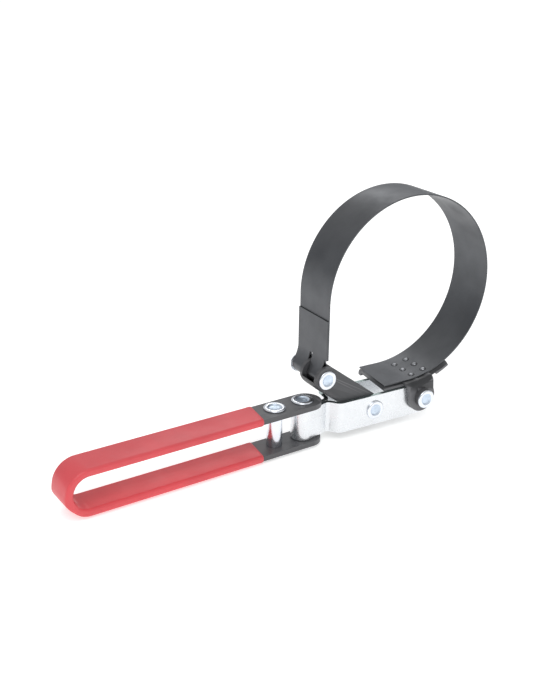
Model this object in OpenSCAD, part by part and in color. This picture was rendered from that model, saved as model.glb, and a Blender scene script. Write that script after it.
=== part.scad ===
// Swivel-handle band wrench for spin-on oil filters.
// Frame: origin at the centre of the band on its axis, X along the yoke arms away from
// the handle, Y along the band's axis away from the rivet heads of the near side, Z up.

/* [Band] */
// Inside diameter of the open band
band_d = 118; // [112:1:121]
// Width of the band
band_w = 31.8; // [30:0.1:34]
// Thickness of the spring-steel strip
band_t = 0.8; // [0.6:0.1:1]
// Length of the returned end that doubles the strap above its eye
return_len = 28; // [15:1:35]

/* [Handle] */
// Distance from the swivel rivet to the closed end of the bare strap
handle_len = 156.2; // [120:1:190]
// Width of the handle strap
strap_w = 19; // [18:0.5:22]
// Thickness of the handle strap
strap_t = 3.2; // [2.5:0.1:4]
// Clear height between the two legs
leg_gap = 20.6; // [20.4:0.1:24]
// Thickness of the vinyl coat
coat_t = 0.75; // [0.5:0.05:1.5]
// Distance from the swivel rivet to the edge of the vinyl coat
coat_start = 32; // [30:0.5:60]
// Distance from the swivel rivet to the spacer post
post_x = 20; // [19:0.5:22]
// Angle of the handle about its swivel rivet
swivel = 3.5; // [-60:0.5:60]

/* [Linkage] */
// Height of the yoke strip
yoke_h = 19.6; // [19:0.1:19.8]
// Thickness of the yoke strip
yoke_t = 2.6; // [2.2:0.1:2.8]
// Outside width of the link channel
link_w = 18; // [16:0.5:20]
// Thickness of the link channel
link_t = 2.4; // [2:0.1:2.6]
// Diameter of the linkage rivets
pin_d = 7.4; // [6:0.1:7.6]

/* [Bracket] */
// Thickness of the bracket plate
plate_t = 2.8; // [2.4:0.1:3]
// Radius of the ears about the bracket rivet
ear_r = 9.6; // [9:0.1:11]
// Height of the collars outside the ears
collar_h = 3.4; // [2:0.1:4]

/* [Hidden] */
$fn = 96;
eps = 0.02;                          // overlap that lets cutting tools clear a face
clear = 0.3;                         // side clearance between sliding plates
fit = 0.05;                          // radial clearance of a rivet in a turning hole

// band
band_ri = band_d / 2;
band_ro = band_ri + band_t;
flex_angle = 70;                     // where the band bends: hinge line of its two stretches
flex_gap = 0.3;                      // gap between the stretches at the hinge line
strap_lean = 2.2;                    // angle of the straight strap from the vertical
tail_len = 17;                       // straight end of the band beyond its lowest point
end_slant = 6.3;                     // angle of the free end of band and bracket from square

// rivet centres in the XZ plane
pivot_x = -72.9;
axis_z = -72.7;                      // mid height of the yoke and of the handle
yoke_pin = [-25, axis_z + 0.3];
bracket_pin_at = [9.4, axis_z + 2.4];
link_pin_at = [-59.3, axis_z + 26.3];

// layout along Y
pivot_y = -9.8;
arm_near = pivot_y - 8.7;            // outer face of the near arm
link_near = arm_near + yoke_t + clear;
link_far = link_near + link_w;
arm_far = link_far + clear + yoke_t; // outer face of the far arm
ear_near = arm_near - clear - plate_t;
ear_far = arm_far + clear + plate_t;
knuckle_near = [link_near + link_t + clear, link_far - link_t - clear];
knuckle_far = [link_far + clear, band_w / 2];

// rivets
link_pin_d = pin_d - 0.4;            // slimmer, so that it turns freely in the eye
head_d = 12;
head_h = 1.2;
swivel_head_d = 13.4;
swivel_head_h = 1.4;
swivel_d = 8.4;
sleeve_d = pin_d + 3.2;              // outside of the spacer sleeves between the plates
post_d = 9.6;
leg_end = 2.6;                       // centre of the rounded leg ends beyond the swivel rivet
post_rivet_d = 6;

// eye of the band round the link rivet
eye_ro = 5;
eye_ri = eye_ro - band_t;
eye_apex = 9.5;                      // height above the rivet where the layers meet
notch_h = 12.5;                      // height of the notches above the rivet

// link channel
link_vec = yoke_pin - link_pin_at;
link_len = norm(link_vec);
link_angle = atan2(link_vec[1], link_vec[0]);
link_down = eye_ro + 2 * clear + link_t; // outer face of the web below the rivet line
link_up = 8.1;                       // free edges above the rivet line
link_bend = link_t + 0.4;

// yoke
loop_ri = swivel_d / 2 + fit;
loop_ro = loop_ri + yoke_t;
loop_rm = (loop_ri + loop_ro) / 2;
neck_slope = 16;                     // run-in angle of the strip from the loop to the neck
neck_y = yoke_t / 2 + 0.1;           // middle of each strip at the pinched neck
neck_x = 15.9;                       // distance of the neck from the swivel rivet
bend_r = 3.9;                        // middle radius of the bends
flare_near = 50;
flare_far = 84;
arm_end = bracket_pin_at[0] - 1;     // centre of the rounded arm ends

// bracket
plate_ri = band_ro;
plate_ro = plate_ri + plate_t;
corner_r = plate_t + 0.6;            // outside radius of the bracket's bends
saddle_half = band_w / 2 + 0.6;      // half width of the plate where it carries no ear
bracket_sweep = 31;                  // degrees from the lowest point to the curved end
flange_h = 28;                       // depth of the blank flanges before they are cut
stub_w = 7.5;                        // length of the small flanges at the free end
stub_h = 4.6;                        // depth of the small flanges below the band
stub_from = 22;                      // degrees from the lowest point, flanges of the curved end
ear_foot = [-2, 17.5];               // where the ears' sides leave the plate, along X
weld_d = 3.2;
weld_pitch = 8.9;
weld_y = -2.3;                       // middle of the weld rows along Y
weld_angles = [7.5, 16.5];           // degrees from the lowest point

// ---- helpers ----

// Places children drawn in the XZ plane as an XY outline, from y0 to y1.
module along_y(y0, y1) {
    translate([0, y1, 0]) rotate([90, 0, 0]) linear_extrude(y1 - y0) children();
}

// Cylinder along Y at a point of the XZ plane.
module rod_y(at, d, y0, y1) {
    translate([at[0], y1, at[1]]) rotate([90, 0, 0]) cylinder(d = d, h = y1 - y0);
}

// Rolled rivet head standing on z = 0: a raised rim round a dished centre.
module rivet_head(d, h) {
    rotate_extrude() difference() {
        union() {
            square([d / 2 - h / 2, h]);
            translate([d / 2 - h / 2, h / 2]) circle(d = h, $fn = 32);
        }
        polygon([[-1, h / 3], [d * 0.2, h / 3], [d * 0.3, h + eps], [-1, h + eps]]);
    }
}

// Rivet along Y with a head beyond each end of its shank.
module rivet_y(at, d, y0, y1) {
    rod_y(at, d, y0 - eps, y1 + eps);
    translate([at[0], y0, at[1]]) rotate([90, 0, 0]) rivet_head(head_d, head_h);
    translate([at[0], y1, at[1]]) rotate([-90, 0, 0]) rivet_head(head_d, head_h);
}

// Rivet along Z through both legs of the handle, at a distance along the handle.
module leg_rivet(at, d, hd) {
    half = leg_gap / 2 + strap_t;
    translate([at, 0, -half - eps]) cylinder(d = d, h = 2 * (half + eps));
    for (side = [0, 180])
        translate([at, 0, 0]) rotate([side, 0, 0]) translate([0, 0, half])
            rivet_head(hd, swivel_head_h);
}

// Handle frame: the swivel rivet is the origin and the handle runs along -X.
module in_handle() {
    translate([pivot_x, pivot_y, axis_z]) rotate([0, 0, swivel]) children();
}

// Sector of a circle in degrees, wide enough to cut a radius of reach.
module wedge(a0, a1, reach) {
    mid = (a0 + a1) / 2;
    polygon([
        [0, 0],
        reach * [cos(a0), sin(a0)],
        reach * 1.5 * [cos((a0 + mid) / 2), sin((a0 + mid) / 2)],
        reach * 1.5 * [cos(mid), sin(mid)],
        reach * 1.5 * [cos((a1 + mid) / 2), sin((a1 + mid) / 2)],
        reach * [cos(a1), sin(a1)]
    ]);
}

// Arc of a strip between two radii.
module arc_strip(ri, ro, a0, a1) {
    intersection() {
        difference() {
            circle(r = ro, $fn = 240);
            circle(r = ri, $fn = 240);
        }
        wedge(a0, a1, ro * 1.3);
    }
}

// ---- handle ----

// Side view of the U: both legs and the round bend, half_out and half_in high.
module u_profile(half_out, half_in, x1) {
    bend_x = -handle_len + leg_gap / 2 + strap_t;
    difference() {
        union() {
            translate([bend_x, -half_out]) square([x1 - bend_x, 2 * half_out]);
            translate([bend_x, 0]) circle(r = half_out);
        }
        translate([bend_x, -half_in]) square([x1 - bend_x + 1, 2 * half_in]);
        translate([bend_x, 0]) circle(r = half_in);
    }
}

module u_strap() {
    reach = handle_len + strap_w;
    intersection() {
        along_y(-strap_w / 2, strap_w / 2)
            u_profile(leg_gap / 2 + strap_t, leg_gap / 2, leg_end + strap_w);
        translate([0, 0, -leg_gap]) linear_extrude(2 * leg_gap) union() {
            translate([leg_end - reach, -strap_w / 2]) square([reach, strap_w]);
            translate([leg_end, 0]) circle(d = strap_w);
        }
    }
}

module handle_strap() {
    color("#2c2d2e") in_handle() difference() {
        u_strap();
        translate([0, 0, -leg_gap]) cylinder(d = swivel_d, h = 2 * leg_gap);
        translate([-post_x, 0, -leg_gap]) cylinder(d = post_rivet_d, h = 2 * leg_gap);
    }
}

module handle_grip() {
    color("#c8363a") in_handle() difference() {
        along_y(-strap_w / 2 - coat_t, strap_w / 2 + coat_t)
            u_profile(leg_gap / 2 + strap_t + coat_t, leg_gap / 2 - coat_t, -coat_start);
        along_y(-strap_w / 2, strap_w / 2)
            u_profile(leg_gap / 2 + strap_t, leg_gap / 2, 0);
    }
}

module swivel_rivet() {
    color("#d5d9dd") in_handle() leg_rivet(0, swivel_d, swivel_head_d);
}

module spacer_sleeve() {
    color("#d5d9dd") in_handle() translate([-post_x, 0, -leg_gap / 2]) difference() {
        cylinder(d = post_d, h = leg_gap);
        translate([0, 0, -1]) cylinder(d = post_rivet_d, h = leg_gap + 2);
    }
}

module spacer_rivet() {
    color("#d5d9dd") in_handle() leg_rivet(-post_x, post_rivet_d, swivel_head_d);
}

// ---- yoke ----

// Points of an arc round c, between two angles.
function arc(c, r, a0, a1, n = 8) =
    [for (i = [0:n]) let (a = a0 + (a1 - a0) * i / n) c + r * [cos(a), sin(a)]];

function reversed(list) = [for (i = [len(list) - 1:-1:0]) list[i]];

function flipped(list) = [for (p = list) [p[0], -p[1]]];

// One edge of an arm from the neck on, for an arm on the +Y side: flare, then straight to its end.
// side is 1 for the outer edge of the strip and -1 for its inner edge, a0 where the neck's bend starts.
function arm_edge(face, flare, side, a0) =
    let (
        half = side * yoke_t / 2,
        rise = face - yoke_t / 2 - neck_y - 2 * bend_r * (1 - cos(flare)),
        neck = [neck_x, neck_y + bend_r],
        out = neck + 2 * bend_r * [sin(flare), -cos(flare)] + rise / sin(flare) * [cos(flare), sin(flare)]
    )
    concat(
        arc(neck, bend_r - half, a0, flare - 90),
        arc(out, bend_r + half, flare + 90, 90),
        [[arm_end - pivot_x + yoke_h, face - yoke_t / 2 + half]]
    );

// Top view of the folded strip: a loop round the swivel rivet, a pinched neck and two flared arms.
module yoke_plan() {
    near = pivot_y - arm_near;
    far = arm_far - pivot_y;
    run_in = loop_ri * [sin(neck_slope), cos(neck_slope)] + 0.5 * [cos(neck_slope), -sin(neck_slope)];
    slit = [neck_x + 0.5, 0.08];     // end of the slit between the strips at the neck
    difference() {
        polygon(concat(
            arc([0, 0], loop_ro, 90 - neck_slope, 270 + neck_slope, 60),
            flipped(arm_edge(near, flare_near, 1, -90 - neck_slope)),
            reversed(flipped(arm_edge(near, flare_near, -1, -90))),
            arm_edge(far, flare_far, -1, -90),
            reversed(arm_edge(far, flare_far, 1, -90 - neck_slope))
        ));
        circle(r = loop_ri);
        polygon([[0, 0], run_in, slit, [slit[0], -slit[1]], [run_in[0], -run_in[1]]]);
    }
}

// Side view of the yoke with its rounded arm ends.
module yoke_side() {
    translate([pivot_x - 2 * loop_ro, axis_z - yoke_h / 2])
        square([arm_end - pivot_x + 2 * loop_ro, yoke_h]);
    translate([arm_end, axis_z]) circle(d = yoke_h);
}

module yoke() {
    color("#d9dde2") difference() {
        intersection() {
            translate([pivot_x, pivot_y, axis_z - yoke_h / 2]) linear_extrude(yoke_h) yoke_plan();
            along_y(arm_near - 1, arm_far + 1) yoke_side();
        }
        rod_y(yoke_pin, pin_d, arm_near - 1, arm_far + 1);
        rod_y(bracket_pin_at, pin_d + 2 * fit, arm_near - 1, arm_far + 1);
    }
}

module yoke_rivet() {
    color("#d5d9dd") rivet_y(yoke_pin, pin_d, arm_near, arm_far);
}

// ---- link ----

// Places children drawn with the link rivet at the origin and the link along +X, +Z its free edges.
module in_link() {
    translate([link_pin_at[0], 0, link_pin_at[1]]) rotate([0, -link_angle, 0]) children();
}

// Cross-section of the channel: outline in Y and Z, web at the bottom.
module channel_section() {
    difference() {
        union() {
            translate([link_near, link_bend - link_down]) square([link_w, link_up + link_down - link_bend]);
            translate([link_near + link_bend, -link_down]) square([link_w - 2 * link_bend, link_bend + eps]);
            for (y = [link_near + link_bend, link_far - link_bend])
                translate([y, link_bend - link_down]) circle(r = link_bend, $fn = 48);
        }
        translate([link_near + link_t, link_t - link_down])
            square([link_w - 2 * link_t, link_up + link_down]);
    }
}

// Side view of the link with its round ends.
module link_outline() {
    translate([0, -link_down]) square([link_len, link_up + link_down]);
    for (x = [0, link_len])
        translate([x, (link_up - link_down) / 2]) circle(d = link_up + link_down);
}

module link() {
    color("#26272a") difference() {
        in_link() intersection() {
            translate([-link_up - 1, 0, 0]) rotate([90, 0, 90])
                linear_extrude(link_len + 2 * link_up + 2) channel_section();
            along_y(link_near - 1, link_far + 1) link_outline();
        }
        rod_y(link_pin_at, link_pin_d, link_near - 1, link_far + 1);
        rod_y(yoke_pin, pin_d + 2 * fit, link_near - 1, link_far + 1);
    }
}

module link_sleeve() {
    color("#c4c8cc") difference() {
        rod_y(yoke_pin, sleeve_d, link_near + link_t, link_far - link_t);
        rod_y(yoke_pin, pin_d + 2 * fit, link_near, link_far);
    }
}

module link_rivet() {
    far = band_w / 2 + clear;
    color("#d5d9dd") rivet_y(link_pin_at, link_pin_d, link_near, far);
}

// ---- bracket ----

// Section of the bracket as a radius (X) against Y, between its two sides: plate, bends and flanges.
module bracket_section(near, far) {
    difference() {
        union() {
            translate([plate_ri, near + corner_r]) square([corner_r + eps, far - near - 2 * corner_r]);
            translate([plate_ri + corner_r, near]) square([flange_h, far - near]);
            for (y = [near + corner_r, far - corner_r])
                translate([plate_ri + corner_r, y]) circle(r = corner_r, $fn = 48);
        }
        translate([plate_ro, near + plate_t]) square([flange_h + corner_r, far - near - 2 * plate_t]);
    }
}

// Section swept round the band's lower right and straight on along the tail.
module bracket_blank(near, far) {
    rotate([90, 0, 0]) rotate([0, 0, -90]) rotate_extrude(angle = bracket_sweep, $fn = 240)
        mirror([0, 1]) bracket_section(near, far);
    rotate([0, 90, 0]) translate([0, 0, -tail_len - 1]) linear_extrude(tail_len + 1 + eps)
        bracket_section(near, far);
}

// Tool that trims the free end of the band and of the bracket to their common slant.
module free_end() {
    reach = 2 * band_w;
    translate([-tail_len, -band_w / 2, -plate_ro - flange_h]) rotate([0, 0, -end_slant])
        translate([-reach, -band_w, 0]) cube([reach, 2 * reach, 2 * flange_h]);
}

// Flange between two angles from the lowest point, to a radius.
module stub_outline(a0, a1, r) {
    intersection() {
        circle(r = r, $fn = 240);
        wedge(a0 - 90, a1 - 90, r * 1.3);
    }
}

// Side view of the saddle: plate and small flanges, up to the stretch that carries the ears.
module saddle_outline() {
    lap = 0.6;                       // how far the saddle runs into the ears' stretch
    difference() {
        union() {
            translate([-tail_len - 1, -plate_ro]) square([tail_len + 1, plate_ro]);
            stub_outline(0, bracket_sweep + 1, plate_ro + clear);
            translate([-tail_len - 1, -plate_ri - stub_h]) square([stub_w, plate_ri]);
            stub_outline(stub_from, bracket_sweep + 1, plate_ri + stub_h);
        }
        circle(r = plate_ri - 0.5, $fn = 240);
        translate([ear_foot[0] + lap, -plate_ri - flange_h])
            square([ear_foot[1] - ear_foot[0] - lap, plate_ri + flange_h]);
    }
}

// Side view of the ears, with the stretch of plate that carries them.
module ear_outline() {
    lobe = [-0.9, 0.9];              // where the ears' straight sides reach the round lobe
    translate(bracket_pin_at) circle(r = ear_r);
    polygon([
        [ear_foot[0], 0],
        [ear_foot[0], -plate_ri],
        bracket_pin_at + ear_r * [lobe[0], -sqrt(1 - lobe[0] * lobe[0])],
        bracket_pin_at + ear_r * [lobe[1], sqrt(1 - lobe[1] * lobe[1])],
        [ear_foot[1], -plate_ri + 1],
        [ear_foot[1], 0]
    ]);
}

// Tool that takes the near small flange off the free end, where the yoke's near arm passes.
module arm_relief() {
    lip = 0.05;                      // what stays of the bend below the plate
    translate([-tail_len - 2, -saddle_half - 1, -plate_ro - stub_h])
        cube([tail_len, saddle_half, stub_h - lip]);
}

module bracket() {
    color("#222326") difference() {
        union() {
            intersection() {
                bracket_blank(-saddle_half, saddle_half);
                along_y(-saddle_half - 1, saddle_half + 1) saddle_outline();
            }
            intersection() {
                bracket_blank(ear_near, ear_far);
                along_y(ear_near - 1, ear_far + 1) ear_outline();
            }
        }
        rod_y(bracket_pin_at, pin_d, ear_near - 1, ear_far + 1);
        weld_holes();
        free_end();
        arm_relief();
    }
}

module bracket_rivet() {
    color("#d5d9dd") rivet_y(bracket_pin_at, pin_d, ear_near - collar_h, ear_far + collar_h);
}

module collar(y0) {
    difference() {
        rod_y(bracket_pin_at, head_d, y0, y0 + collar_h);
        rod_y(bracket_pin_at, pin_d, y0 - 1, y0 + collar_h + 1);
    }
}

module near_collar() {
    color("#222326") collar(ear_near - collar_h);
}

module far_collar() {
    color("#222326") collar(ear_far);
}

module arm_spacer() {
    color("#c4c8cc") difference() {
        rod_y(bracket_pin_at, sleeve_d, arm_near + yoke_t + clear, arm_far - yoke_t - clear);
        rod_y(bracket_pin_at, pin_d, arm_near, arm_far);
    }
}

// ---- band ----

// Six weld buttons in two rows across the band, as tools or as solids.
module at_welds() {
    for (a = weld_angles, i = [-1:1])
        rotate([0, -a, 0]) translate([0, i * weld_pitch + weld_y, 0]) children();
}

module weld_holes() {
    at_welds() translate([0, 0, -plate_ro - 1]) cylinder(d = weld_d, h = plate_ro - band_ri + 3);
}

module weld_buttons() {
    inset = 0.15;
    color("#4a4b4e") at_welds() translate([0, 0, -plate_ro + inset])
        cylinder(d = weld_d, h = plate_ro - band_ri - 2 * inset);
}

module band_fixed() {
    color("#3a3b3e") difference() {
        along_y(-band_w / 2, band_w / 2) {
            arc_strip(band_ri, band_ro, -91, flex_angle - flex_gap / band_ri * 90 / PI);
            translate([-tail_len - 1, -band_ro]) square([tail_len + 1.5, band_t]);
        }
        weld_holes();
        free_end();
    }
}

// Outline of the strap and its eye, drawn with the link rivet at the origin and the strap along +Y.
// The two layers part at the apex, go round the eye and meet again; the outer one ends at the seam.
function eye_edge(r, reach, apex_half) =
    let (spread = asin(r / reach))
    concat(
        [[-apex_half, reach]],
        [for (i = [0:24]) let (a = 180 - spread + (180 + 2 * spread) * i / 24) r * [cos(a), sin(a)]],
        [[apex_half, reach]]
    );

module strap_plan() {
    top = (band_ri + band_t / 2) * [-cos(strap_lean), -sin(strap_lean)];
    run = norm(top - link_pin_at);
    lean = atan2(top[1] - link_pin_at[1], top[0] - link_pin_at[0]) - 90;
    overlap = 0.4;                   // how far the strap runs into the arc
    translate(link_pin_at) rotate(lean) difference() {
        polygon(concat(
            [[-band_t / 2, run + overlap], [-band_t / 2, eye_apex + return_len],
             [-band_t, eye_apex + return_len]],
            eye_edge(eye_ro, eye_apex, band_t),
            [[band_t / 2, eye_apex + 3], [band_t / 2, run + overlap]]
        ));
        polygon(eye_edge(eye_ri, eye_apex - 2 * band_t, 0.05));
    }
}

module band_moving() {
    reach = 2 * eye_ro;
    low = link_pin_at[1] - reach;
    notch = [2 * reach, notch_h + reach];
    near_cut = -band_w / 2 - 1;
    color("#3a3b3e") difference() {
        along_y(-band_w / 2, band_w / 2) {
            arc_strip(band_ri, band_ro, flex_angle + flex_gap / band_ri * 90 / PI, 180 + strap_lean);
            strap_plan();
        }
        translate([link_pin_at[0] - reach, near_cut, low])
            cube([notch[0], knuckle_near[0] - near_cut, notch[1]]);
        translate([link_pin_at[0] - reach, knuckle_near[1], low])
            cube([notch[0], knuckle_far[0] - knuckle_near[1], notch[1]]);
    }
}

handle_strap();
handle_grip();
swivel_rivet();
spacer_sleeve();
spacer_rivet();
yoke();
yoke_rivet();
link();
link_sleeve();
link_rivet();
bracket();
bracket_rivet();
near_collar();
far_collar();
arm_spacer();
band_fixed();
band_moving();
weld_buttons();
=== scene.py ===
"""Looks of a swivel-handle band wrench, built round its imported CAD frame. Metres, Z up."""

import math

import bmesh
import bpy
from mathutils import Matrix, Vector


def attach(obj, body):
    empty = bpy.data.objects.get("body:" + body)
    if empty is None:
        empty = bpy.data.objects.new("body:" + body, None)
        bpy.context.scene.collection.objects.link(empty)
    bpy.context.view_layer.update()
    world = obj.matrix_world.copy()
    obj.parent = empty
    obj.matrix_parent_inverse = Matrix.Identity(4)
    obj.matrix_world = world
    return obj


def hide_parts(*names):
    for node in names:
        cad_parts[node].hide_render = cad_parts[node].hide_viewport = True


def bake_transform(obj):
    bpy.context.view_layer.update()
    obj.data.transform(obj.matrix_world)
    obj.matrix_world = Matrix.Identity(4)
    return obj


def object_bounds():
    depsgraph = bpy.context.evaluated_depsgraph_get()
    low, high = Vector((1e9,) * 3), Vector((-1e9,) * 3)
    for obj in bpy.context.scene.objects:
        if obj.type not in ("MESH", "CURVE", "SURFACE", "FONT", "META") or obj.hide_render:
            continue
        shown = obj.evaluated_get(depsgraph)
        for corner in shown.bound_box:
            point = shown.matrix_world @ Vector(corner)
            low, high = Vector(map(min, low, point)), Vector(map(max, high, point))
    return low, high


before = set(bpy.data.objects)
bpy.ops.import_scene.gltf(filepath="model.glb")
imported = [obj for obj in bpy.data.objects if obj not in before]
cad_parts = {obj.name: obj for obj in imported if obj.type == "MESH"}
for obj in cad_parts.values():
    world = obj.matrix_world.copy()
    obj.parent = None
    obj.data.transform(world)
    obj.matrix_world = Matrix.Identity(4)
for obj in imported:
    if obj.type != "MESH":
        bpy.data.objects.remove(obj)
cad_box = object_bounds()
scene = bpy.context.scene
MM = 0.001
PANELS = 5.0  # dark and light pairs round the studio's horizon

# ---- sizes, in millimetres ----

# Handle: swivel axis, turn about it, and the looped strap with its vinyl coat.
PIVOT = Vector((-72.9, -9.8, -72.7))
SWIVEL = 3.5
HANDLE_LEN = 156.2
STRAP_W, STRAP_T = 19.0, 3.2
LEG_GAP = 20.6
COAT_T = 0.75
COAT_START = 32.0
POST_X = 20.0

# Band: circle, strap and the end loops round the link rivet.
BAND_R = 59.4
BAND_W, BAND_T = 31.8, 0.8
TAIL, END_SLANT = 17.0, 6.3
STRAP_LEAN = 2.2
LINK_PIN = Vector((-59.3, 0, -46.4))
EYE_R, EYE_APEX = 4.6, 9.5
RETURN_TOP = 37.5
NOTCH_H = 12.5
KNUCKLES = ((-12.9, -0.3), (2.7, 15.9))
WELD_ANGLES = (7.5, 16.5)
WELD_PITCH, WELD_Y = 8.9, -2.3

# Rivets along Y: centre in XZ, faces under the two heads.
YOKE_PIN = (-25.0, -72.4)
BRACKET_PIN = (9.4, -70.3)
ARM_NEAR, ARM_FAR = -18.5, 5.3
LINK_NEAR, FAR_END = -15.6, 16.2
COLLAR_NEAR, COLLAR_FAR = -25.0, 11.8


# ---- camera, floor and light ----

def make_camera():
    """Camera at the photograph's angle: it looks along -back at a point beside the swivel rivet."""
    azimuth, elevation, roll = (math.radians(a) for a in (-30.456, 22.441, 0.649))
    distance, aside, above = 617.13, -19.20, 42.98
    back = Vector((
        math.sin(azimuth) * math.cos(elevation),
        -math.cos(azimuth) * math.cos(elevation),
        math.sin(elevation),
    ))
    level = Vector((math.cos(azimuth), math.sin(azimuth), 0))
    upright = back.cross(level)
    right = level * math.cos(roll) + upright * math.sin(roll)
    up = upright * math.cos(roll) - level * math.sin(roll)
    data = bpy.data.cameras.new("camera")
    data.lens = 52.445
    data.sensor_width = 36
    data.clip_start, data.clip_end = 0.01, 100
    camera = bpy.data.objects.new("camera", data)
    scene.collection.objects.link(camera)
    place = (PIVOT + back * distance + right * aside + up * above) * MM
    turn = Matrix((right, up, back)).transposed().to_4x4()
    camera.matrix_world = Matrix.Translation(place) @ turn
    scene.camera = camera


def area_light(name, place, aim, size, power):
    data = bpy.data.lights.new(name, "AREA")
    data.shape = "RECTANGLE"
    data.size, data.size_y = size
    data.energy = power
    light = bpy.data.objects.new(name, data)
    scene.collection.objects.link(light)
    light.location = place
    light.rotation_euler = (Vector(aim) - Vector(place)).to_track_quat("-Z", "Y").to_euler()


def make_world():
    """White studio surround whose horizon has grey panels, so that bright metal has something to reflect."""
    world = bpy.data.worlds.new("studio")
    scene.world = world
    world.use_nodes = True
    nodes, links = world.node_tree.nodes, world.node_tree.links
    nodes.clear()
    coords = nodes.new("ShaderNodeTexCoord")
    split = nodes.new("ShaderNodeSeparateXYZ")
    links.new(coords.outputs["Generated"], split.inputs[0])
    turn = nodes.new("ShaderNodeMath")
    turn.operation = "ARCTAN2"
    links.new(split.outputs["Y"], turn.inputs[0])
    links.new(split.outputs["X"], turn.inputs[1])
    waves = nodes.new("ShaderNodeMath")
    waves.operation = "MULTIPLY"
    links.new(turn.outputs[0], waves.inputs[0])
    waves.inputs[1].default_value = PANELS
    wave = nodes.new("ShaderNodeMath")
    wave.operation = "SINE"
    links.new(waves.outputs[0], wave.inputs[0])
    panels = nodes.new("ShaderNodeValToRGB")
    dark, bright = panels.color_ramp.elements
    dark.position, dark.color = 0.0, (0.42, 0.45, 0.5, 1)
    bright.position, bright.color = 0.75, (1, 1, 1, 1)
    level = nodes.new("ShaderNodeMapRange")
    links.new(wave.outputs[0], level.inputs[0])
    level.inputs["From Min"].default_value, level.inputs["From Max"].default_value = -1, 1
    links.new(level.outputs[0], panels.inputs[0])
    height = nodes.new("ShaderNodeMapRange")
    links.new(split.outputs["Z"], height.inputs[0])
    height.inputs["From Min"].default_value, height.inputs["From Max"].default_value = 0.15, 0.75
    mix = nodes.new("ShaderNodeMix")
    mix.data_type = "RGBA"
    links.new(height.outputs[0], mix.inputs["Factor"])
    links.new(panels.outputs[0], mix.inputs["A"])
    mix.inputs["B"].default_value = (1, 1, 1, 1)
    background = nodes.new("ShaderNodeBackground")
    background.inputs["Strength"].default_value = 0.70
    links.new(mix.outputs["Result"], background.inputs["Color"])
    output = nodes.new("ShaderNodeOutputWorld")
    links.new(background.outputs[0], output.inputs[0])


def make_floor():
    mesh = bpy.data.meshes.new("floor")
    reach, level = 30.0, cad_box[0].z - 0.0005
    turns = ((-1, -1), (1, -1), (1, 1), (-1, 1))
    corners = [(x * reach, y * reach, level) for x, y in turns]
    mesh.from_pydata(corners, [], [(0, 1, 2, 3)])
    floor = bpy.data.objects.new("floor", mesh)
    scene.collection.objects.link(floor)
    mat = bpy.data.materials.new("floor")
    mat.use_nodes = True
    shader = mat.node_tree.nodes["Principled BSDF"]
    shader.inputs["Base Color"].default_value = (0.82, 0.82, 0.82, 1)
    shader.inputs["Roughness"].default_value = 1.0
    shader.inputs["Specular IOR Level"].default_value = 0.0
    shader.inputs["Emission Color"].default_value = (1, 1, 1, 1)
    shader.inputs["Emission Strength"].default_value = 0.52
    mesh.materials.append(mat)


# ---- materials ----

def surface(name, color, rough, metal=0.0, mottle=0.12, mottle_scale=60.0, grain=0.03, grain_scale=900.0,
            wear=0.0, wear_color=(0.4, 0.4, 0.42), rough_swing=0.12, coat=0.0, coat_rough=0.25, specular=0.5,
            painted_edge_shade=None):
    """A coat or metal with cloudy colour and roughness and fine grain, rubbed edges where wear is set, and a
    painted shade colour on faces that point straight up or down where one is given.
    """
    mat = bpy.data.materials.new(name)
    mat.use_nodes = True
    nodes, links = mat.node_tree.nodes, mat.node_tree.links
    shader = nodes["Principled BSDF"]
    shader.inputs["Metallic"].default_value = metal
    shader.inputs["Specular IOR Level"].default_value = specular
    shader.inputs["Coat Weight"].default_value = coat
    shader.inputs["Coat Roughness"].default_value = coat_rough
    coords = nodes.new("ShaderNodeTexCoord")

    def noise(scale, detail):
        node = nodes.new("ShaderNodeTexNoise")
        node.inputs["Scale"].default_value = scale
        node.inputs["Detail"].default_value = detail
        links.new(coords.outputs["Object"], node.inputs["Vector"])
        return node.outputs["Fac"]

    def spread(value, low, high, from_low=0.3, from_high=0.7):
        node = nodes.new("ShaderNodeMapRange")
        node.inputs["From Min"].default_value, node.inputs["From Max"].default_value = from_low, from_high
        node.inputs["To Min"].default_value, node.inputs["To Max"].default_value = low, high
        links.new(value, node.inputs["Value"])
        return node.outputs[0]

    def blend(factor, a, b):
        node = nodes.new("ShaderNodeMix")
        node.data_type = "RGBA"
        links.new(factor, node.inputs["Factor"])
        for socket, value in (("A", a), ("B", b)):
            if isinstance(value, tuple):
                node.inputs[socket].default_value = (*value, 1)
            else:
                links.new(value, node.inputs[socket])
        return node.outputs["Result"]

    clouds = noise(mottle_scale, 4)
    dark = tuple(c * (1 - mottle) for c in color)
    light = tuple(min(1.0, c * (1 + mottle)) for c in color)
    tone = blend(spread(clouds, 0, 1), dark, light)
    geometry = nodes.new("ShaderNodeNewGeometry")
    if wear:
        edges = spread(geometry.outputs["Pointiness"], 0, wear, 0.505, 0.56)
        tone = blend(edges, tone, wear_color)
    # Painted shade: faces that point straight up or down are blended into a darker bluish colour.
    if painted_edge_shade:
        normal = nodes.new("ShaderNodeSeparateXYZ")
        links.new(geometry.outputs["Normal"], normal.inputs[0])
        upright = nodes.new("ShaderNodeMath")
        upright.operation = "ABSOLUTE"
        links.new(normal.outputs["Z"], upright.inputs[0])
        tone = blend(spread(upright.outputs[0], 0, 1, 0.75, 0.9), tone, painted_edge_shade)
    links.new(tone, shader.inputs["Base Color"])
    patches = noise(mottle_scale * 1.7, 3)
    roughness = spread(patches, rough * (1 - rough_swing), rough * (1 + rough_swing))
    links.new(roughness, shader.inputs["Roughness"])
    bump = nodes.new("ShaderNodeBump")
    bump.inputs["Strength"].default_value = grain
    bump.inputs["Distance"].default_value = 0.0004
    links.new(noise(grain_scale, 2), bump.inputs["Height"])
    links.new(bump.outputs[0], shader.inputs["Normal"])
    return mat


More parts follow.
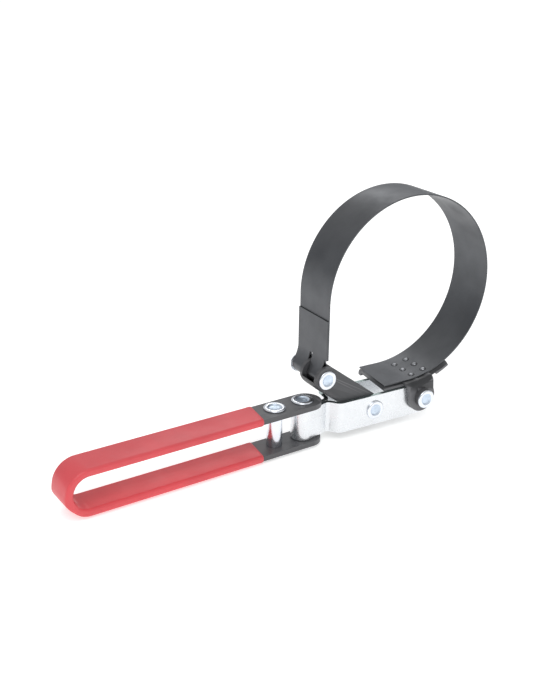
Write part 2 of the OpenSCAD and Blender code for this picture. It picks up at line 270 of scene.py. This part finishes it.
RED_VINYL = surface("red_vinyl", (0.66, 0.062, 0.075), 0.55, mottle=0.07, mottle_scale=45, grain=0.12,
                    grain_scale=260, coat=0.30, coat_rough=0.20, specular=0.5)
BLACK_STRAP = surface("black_strap", (0.030, 0.031, 0.033), 0.42, mottle=0.15, grain=0.10, grain_scale=1400,
                      wear=0.35)
BLACK_STEEL = surface("black_steel", (0.017, 0.018, 0.020), 0.45, mottle=0.15, grain=0.14, grain_scale=1300,
                      wear=0.30)
BAND_STEEL = surface("band_steel", (0.102, 0.106, 0.113), 0.42, metal=0.85, mottle=0.14, mottle_scale=38,
                     grain=0.05, grain_scale=1500, rough_swing=0.2)
# The yoke's faces that point up or down take a painted bluish shade.
ZINC_YOKE = surface("zinc_yoke", (0.78, 0.80, 0.82), 0.27, metal=0.95, mottle=0.03, mottle_scale=90,
                    grain=0.01, grain_scale=1800, painted_edge_shade=(0.36, 0.43, 0.42))
ZINC = surface("zinc", (0.80, 0.83, 0.88), 0.22, metal=1.0, mottle=0.03, mottle_scale=120, grain=0.03,
               grain_scale=1800)
ZINC_DISH = surface("zinc_dish", (0.62, 0.71, 0.82), 0.34, metal=0.9, mottle=0.12, mottle_scale=500,
                    grain=0.05, grain_scale=1800)
# Weld marks: the dome's lighter colour is a painted highlight and the near-black ring is painted shade.
WELD_HIGHLIGHT = surface("weld_steel", (0.34, 0.35, 0.37), 0.30, metal=0.9, mottle=0.2, mottle_scale=900)
WELD_SHADE = surface("weld_shade", (0.030, 0.030, 0.033), 0.45, metal=0.6, mottle=0.2, mottle_scale=900)


# ---- mesh helpers ----

def add_piece(name, verts, faces, mats, body, sharp=40, face_mats=None):
    """Makes a mesh piece from millimetre points, smooth except at edges sharper than the angle given."""
    mesh = bpy.data.meshes.new(name)
    mesh.from_pydata([Vector(v) * MM for v in verts], [], faces)
    for mat in mats:
        mesh.materials.append(mat)
    if face_mats:
        mesh.polygons.foreach_set("material_index", face_mats)
    mesh.update()
    mesh.shade_smooth()
    mesh.set_sharp_from_angle(angle=math.radians(sharp))
    piece = bpy.data.objects.new(name, mesh)
    scene.collection.objects.link(piece)
    if body:
        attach(piece, body)
    return piece


def close_mesh(piece):
    """Joins the points that coincide and turns every face outwards."""
    work = bmesh.new()
    work.from_mesh(piece.data)
    bmesh.ops.remove_doubles(work, verts=work.verts, dist=1e-6)
    bmesh.ops.recalc_face_normals(work, faces=work.faces)
    work.to_mesh(piece.data)
    work.free()


def lathe_points(profile, steps=64):
    """Verts and faces of a profile of (radius, height) turned about +Z, and each face's row of the profile.
    Points on the axis become one vertex."""
    verts, rings = [], []
    for r, z in profile:
        if r < 1e-6:
            rings.append([len(verts)])
            verts.append(Vector((0, 0, z)))
        else:
            rings.append(list(range(len(verts), len(verts) + steps)))
            for i in range(steps):
                a = 2 * math.pi * i / steps
                verts.append(Vector((r * math.cos(a), r * math.sin(a), z)))
    faces, rows = [], []
    for row, (low, high) in enumerate(zip(rings, rings[1:])):
        for i in range(steps):
            j = (i + 1) % steps
            if len(low) == 1:
                faces.append((low[0], high[j], high[i]))
            elif len(high) == 1:
                faces.append((low[i], low[j], high[0]))
            else:
                faces.append((low[i], low[j], high[j], high[i]))
            rows.append(row)
    return verts, faces, rows


def handle_matrix():
    return Matrix.Translation(PIVOT) @ Matrix.Rotation(math.radians(SWIVEL), 4, "Z")


# ---- rivets and sleeves ----

def head_profile(radius, height, dish):
    """Rolled head from its underside to its centre, and the row where the dish begins."""
    rim = [(radius - 0.45, 0), (radius - 0.1, 0.12 * height), (radius, 0.4 * height),
           (radius - 0.12, 0.68 * height), (radius - 0.45, 0.88 * height), (radius - 0.95, 0.98 * height),
           (radius - 1.5, height), (dish + 0.55, 0.97 * height), (dish + 0.2, 0.88 * height)]
    bowl = [(dish - 0.1, 0.66 * height), (dish - 0.45, 0.46 * height), (dish - 1.0, 0.34 * height),
            (dish - 1.8, 0.28 * height), (0.45 * dish, 0.25 * height), (0.38 * dish, 0.18 * height),
            (0.3 * dish, 0.14 * height), (0, 0.12 * height)]
    return rim + bowl, len(rim) - 1


def rivet(name, node, body, start, axis, length, shank, head, dish, height):
    """Rivet with a rolled head beyond each end of a shank of that length, from a point along an axis."""
    profile, first_dish = head_profile(head / 2, height, dish)
    verts, faces, face_mats = [], [], []
    out = Vector(axis).normalized()
    for place, way in ((Vector(start), -out), (Vector(start) + out * length, out)):
        turn = way.to_track_quat("Z", "Y").to_matrix().to_4x4()
        points, polys, rows = lathe_points([(shank / 2, 0)] + profile)
        base = len(verts)
        verts += [Matrix.Translation(place) @ turn @ p for p in points]
        faces += [tuple(i + base for i in f) for f in polys]
        face_mats += [1 if row > first_dish else 0 for row in rows]
    turn = out.to_track_quat("Z", "Y").to_matrix().to_4x4()
    base = len(verts)
    points, polys, _ = lathe_points([(shank / 2, 0), (shank / 2, length)])
    verts += [Matrix.Translation(Vector(start)) @ turn @ p for p in points]
    faces += [tuple(i + base for i in f) for f in polys]
    face_mats += [0] * len(polys)
    piece = add_piece(name, verts, faces, (ZINC, ZINC_DISH), body, 50, face_mats)
    close_mesh(piece)
    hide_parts(node)


def sleeve(name, node, body, start, axis, length, outer, inner):
    """Tube with softly rounded rims."""
    r = 0.35
    profile = [(inner / 2, 0), (outer / 2 - r, 0), (outer / 2 - 0.1, 0.1), (outer / 2, r),
               (outer / 2, length - r), (outer / 2 - 0.1, length - 0.1), (outer / 2 - r, length),
               (inner / 2, length), (inner / 2, 0)]
    points, polys, _ = lathe_points(profile)
    turn = Vector(axis).to_track_quat("Z", "Y").to_matrix().to_4x4()
    verts = [Matrix.Translation(Vector(start)) @ turn @ p for p in points]
    piece = add_piece(name, verts, polys, (ZINC,), body, 50)
    close_mesh(piece)
    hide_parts(node)


def make_rivets():
    half = LEG_GAP / 2 + STRAP_T
    place = handle_matrix()
    for name, node, x, shank, dish in (("swivel_rivet_body", "swivel_rivet", 0, 8.4, 4.0),
                                       ("spacer_rivet_body", "spacer_rivet", -POST_X, 6.0, 4.0)):
        start = place @ Vector((x, 0, -half))
        rivet(name, node, "handle", start, (0, 0, 1), 2 * half, shank, 13.4, dish, 1.4)
    start = place @ Vector((-POST_X, 0, -LEG_GAP / 2))
    sleeve("spacer_sleeve_tube", "spacer_sleeve", "handle", start, (0, 0, 1), LEG_GAP, 9.6, 6.0)
    for name, node, body, at, near, far, shank in (
            ("yoke_rivet_body", "yoke_rivet", "yoke", YOKE_PIN, ARM_NEAR, ARM_FAR, 7.4),
            ("link_rivet_body", "link_rivet", "link", (LINK_PIN.x, LINK_PIN.z), LINK_NEAR, FAR_END, 7.0),
            ("bracket_rivet_body", "bracket_rivet", "ring_side", BRACKET_PIN, COLLAR_NEAR, COLLAR_FAR, 7.4)):
        rivet(name, node, body, (at[0], near, at[1]), (0, 1, 0), far - near, shank, 12.0, 3.5, 1.2)


# ---- handle grip ----

def grip_section(inset, steps=6):
    """Rounded rectangle across the coated strap, as (across, out) pairs, shrunk by inset."""
    half_w, half_t = STRAP_W / 2 + COAT_T - inset, STRAP_T / 2 + COAT_T - inset
    r = min(1.75, half_t * 0.8)
    points = []
    for cx, cy, a0 in ((1, 1, 0), (-1, 1, 90), (-1, -1, 180), (1, -1, 270)):
        for i in range(steps + 1):
            a = math.radians(a0 + 90 * i / steps)
            points.append((cx * (half_w - r) + r * math.cos(a), cy * (half_t - r) + r * math.sin(a)))
    return points


def make_grip():
    """Vinyl coat swept along the looped strap. Its two ends are rounded over and slant across the strap,
    and a soft ridge crosses the outside of the closed end."""
    mid = LEG_GAP / 2 + STRAP_T / 2
    bend_x = -(HANDLE_LEN - LEG_GAP / 2 - STRAP_T)
    slant, slant_run = 1.6, 12
    lip = ((0, 0.9), (0.05, 0.62), (0.25, 0.34), (0.6, 0.12), (1.1, 0.0), (2.2, -0.06), (4.0, 0.0))
    plain = [10 + 9 * i for i in range(11)]
    bend_gap = 3
    straight = [s for s, _ in lip] + plain
    insets = [i for _, i in lip] + [0.0] * len(plain)
    run = -COAT_START - bend_x
    path = [(-COAT_START - s, n) for s, n in zip(straight, insets) if s < run - bend_gap]
    rings = [(Vector((x, 0, mid)), Vector((0, 0, 1)), n, -COAT_START - x, 0.0) for x, n in path]
    turns = 40
    ridge_at, ridge_h, ridge_reach = 192, 0.6, 18
    hollow_at, hollow, hollow_reach = 226, 0.5, 22
    for i in range(turns + 1):
        degrees = 90 + 180 * i / turns
        a = math.radians(degrees)
        out = Vector((math.cos(a), 0, math.sin(a)))
        ridge = ridge_h * max(0.0, 1 - abs(degrees - ridge_at) / ridge_reach)
        flat = hollow * max(0.0, 1 - abs(degrees - hollow_at) / hollow_reach)
        rings.append((Vector((bend_x, 0, 0)) + out * mid, out, 0.0, run, ridge - flat))
    for x, n in reversed(path):
        rings.append((Vector((x, 0, -mid)), Vector((0, 0, -1)), n, -COAT_START - x, 0.0))
    verts, faces = [], []
    place = handle_matrix()
    count = len(grip_section(0))
    for centre, out, inset, along, swell in rings:
        lean = slant * max(0.0, 1 - along / slant_run)
        for across, height in grip_section(inset):
            shift = lean * across / (STRAP_W / 2)
            outward = height + (swell if height > 0 else 0)
            verts.append(place @ (centre + Vector((shift, across, 0)) + out * outward))
    for k in range(len(rings) - 1):
        for i in range(count):
            j = (i + 1) % count
            faces.append((k * count + i, k * count + j, (k + 1) * count + j, (k + 1) * count + i))
    last = (len(rings) - 1) * count
    faces.append(tuple(reversed(range(count))))
    faces.append(tuple(last + i for i in range(count)))
    piece = add_piece("handle_grip_coat", verts, faces, (RED_VINYL,), "handle", 60)
    close_mesh(piece)
    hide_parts("handle_grip")


# ---- band ----

def band_path():
    """Middle line of the band in XZ from its free end, round the circle, down the strap, round the eye
    and back up outside it. Each point is marked whole, or loop where only the knuckles are left."""
    path = [(Vector((x, 0, -BAND_R)), "whole") for x in (-TAIL, -TAIL * 0.66, -TAIL * 0.33)]
    steps = 150
    end = 180 + STRAP_LEAN
    for i in range(steps + 1):
        a = math.radians(-90 + (end + 90) * i / steps)
        path.append((Vector((BAND_R * math.cos(a), 0, BAND_R * math.sin(a))), "whole"))
    top = path[-1][0]
    run = (top - LINK_PIN).length
    up = (top - LINK_PIN) / run
    side = Vector((up.z, 0, -up.x))

    def at(across, along):
        return LINK_PIN + side * across + up * along

    for along in (run * 0.93, run * 0.85, RETURN_TOP, 30, 22, 16):
        path.append((at(0, along), "whole"))
    path.append((at(0, NOTCH_H), "whole"))
    spread = math.asin(EYE_R / EYE_APEX)
    tangent = EYE_R * Vector((math.cos(spread), math.sin(spread)))
    for x, y in curve_to((0, NOTCH_H), (0, EYE_APEX), tangent):
        path.append((at(x, y), "loop"))
    turns = 36
    for i in range(1, turns):
        a = spread - (math.pi + 2 * spread) * i / turns
        path.append((at(EYE_R * math.cos(a), EYE_R * math.sin(a)), "loop"))
    back = curve_to((-BAND_T, NOTCH_H), (-BAND_T, EYE_APEX), Vector((-tangent.x, tangent.y)))
    for x, y in reversed(back):
        path.append((at(x, y), "loop"))
    path.append((at(-BAND_T, NOTCH_H), "whole"))
    for along in (16, 22, 30, RETURN_TOP):
        path.append((at(-BAND_T, along), "whole"))
    return path


def curve_to(start, corner, end, steps=8):
    """Points of a quadratic curve from start to end that turns at a corner, the start left out."""
    a, b, c = Vector(start), Vector(corner), Vector(end)
    return [(a.lerp(b, t)).lerp(b.lerp(c, t), t) for t in (i / steps for i in range(1, steps + 1))]


def make_band():
    """One strip of spring steel with two knuckles at its end, made as one piece that does not bend, in place
    of the two CAD stretches.
    """
    half, column_w = BAND_W / 2, 3
    edges = [-half, KNUCKLES[0][0], KNUCKLES[0][1], KNUCKLES[1][0], half]
    columns = []
    for low, high in zip(edges, edges[1:]):
        parts = max(1, round((high - low) / column_w))
        step = (high - low) / parts
        columns += [(low + step * i, low + step * (i + 1)) for i in range(parts)]
    levels = [columns[0][0]] + [c[1] for c in columns]
    path = band_path()
    verts = [Vector((p.x, y, p.z)) for p, _ in path for y in levels]
    for vert in verts[:len(levels)]:
        vert.x += (vert.y + half) * math.tan(math.radians(END_SLANT))
    width = len(levels)
    faces = []
    for k in range(len(path) - 1):
        loop = path[k][1] == "loop" or path[k + 1][1] == "loop"
        for i, (low, high) in enumerate(columns):
            middle = (low + high) / 2
            if loop and not any(a < middle < b for a, b in KNUCKLES):
                continue
            faces.append((k * width + i, k * width + i + 1, (k + 1) * width + i + 1, (k + 1) * width + i))
    used = sorted({i for f in faces for i in f})
    number = {old: new for new, old in enumerate(used)}
    verts = [verts[i] for i in used]
    faces = [tuple(number[i] for i in f) for f in faces]
    piece = add_piece("spring_steel_band", verts, faces, (BAND_STEEL,), None, 80)
    thick = piece.modifiers.new("thickness", "SOLIDIFY")
    thick.thickness = BAND_T * MM * 0.98
    thick.offset = 0
    thick.use_even_offset = True
    soft = piece.modifiers.new("edges", "BEVEL")
    soft.width = 0.14 * MM
    soft.segments = 2
    soft.limit_method = "ANGLE"
    soft.angle_limit = math.radians(50)
    soft.harden_normals = True
    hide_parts("band_fixed", "band_moving")

    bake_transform(piece)


def make_welds():
    """Six weld marks inside the band: a ring of painted shade round a small dome lightened as a painted
    highlight.
    """
    profile = [(2.3, -0.3), (2.2, 0.02), (2.0, 0.08), (1.75, 0.06), (1.5, 0.05), (1.42, 0.32), (1.2, 0.55),
               (0.85, 0.7), (0.4, 0.78), (0, 0.8)]
    dome_row = 4
    verts, faces, face_mats = [], [], []
    for angle in WELD_ANGLES:
        for row in (-1, 0, 1):
            a = math.radians(angle - 90)
            inward = -Vector((math.cos(a), 0, math.sin(a)))
            place = -inward * (BAND_R - BAND_T / 2) + Vector((0, row * WELD_PITCH + WELD_Y, 0))
            turn = inward.to_track_quat("Z", "Y").to_matrix().to_4x4()
            points, polys, rows = lathe_points(profile, 32)
            base = len(verts)
            verts += [Matrix.Translation(place) @ turn @ p for p in points]
            faces += [tuple(i + base for i in f) for f in polys]
            # Outer moat rows take the painted-shade material, dome rows the painted-highlight material.
            face_mats += [1 if r < dome_row else 0 for r in rows]
    mats = (WELD_HIGHLIGHT, WELD_SHADE)
    piece = add_piece("weld_marks", verts, faces, mats, "ring_side", 60, face_mats)
    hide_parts("weld_buttons")


# ---- CAD nodes that stay ----

def dress(node, mat, bevel=0.3):
    """Gives a CAD node its material and breaks its sharp edges."""
    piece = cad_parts[node]
    piece.data.materials.clear()
    piece.data.materials.append(mat)
    piece.data.polygons.foreach_set("material_index", [0] * len(piece.data.polygons))
    piece.data.shade_smooth()
    weld = piece.modifiers.new("weld", "WELD")
    weld.merge_threshold = 0.002 * MM
    flat = piece.modifiers.new("flat", "DECIMATE")
    flat.decimate_type = "DISSOLVE"
    flat.angle_limit = math.radians(0.5)
    edge = piece.modifiers.new("edges", "BEVEL")
    edge.width = bevel * MM
    edge.segments = 3
    edge.limit_method = "ANGLE"
    edge.angle_limit = math.radians(40)
    shade = piece.modifiers.new("shade", "WEIGHTED_NORMAL")
    shade.keep_sharp = False


def dress_cad():
    dress("handle_strap", BLACK_STRAP, 0.35)
    dress("yoke", ZINC_YOKE, 0.3)
    dress("link", BLACK_STEEL, 0.3)
    dress("bracket", BLACK_STEEL, 0.35)
    dress("near_collar", BLACK_STEEL, 0.4)
    dress("far_collar", BLACK_STEEL, 0.4)
    dress("link_sleeve", ZINC, 0.2)
    dress("arm_spacer", ZINC, 0.2)


make_camera()
make_world()
make_floor()
area_light("key", (-0.5, -0.7, 1.0), (0, 0, -0.03), (0.9, 0.9), 6)
area_light("back", (0.6, 0.9, 0.8), (0, 0, 0), (0.8, 0.5), 2)
scene.view_settings.view_transform = "Standard"
make_rivets()
make_grip()
make_band()
make_welds()
dress_cad()
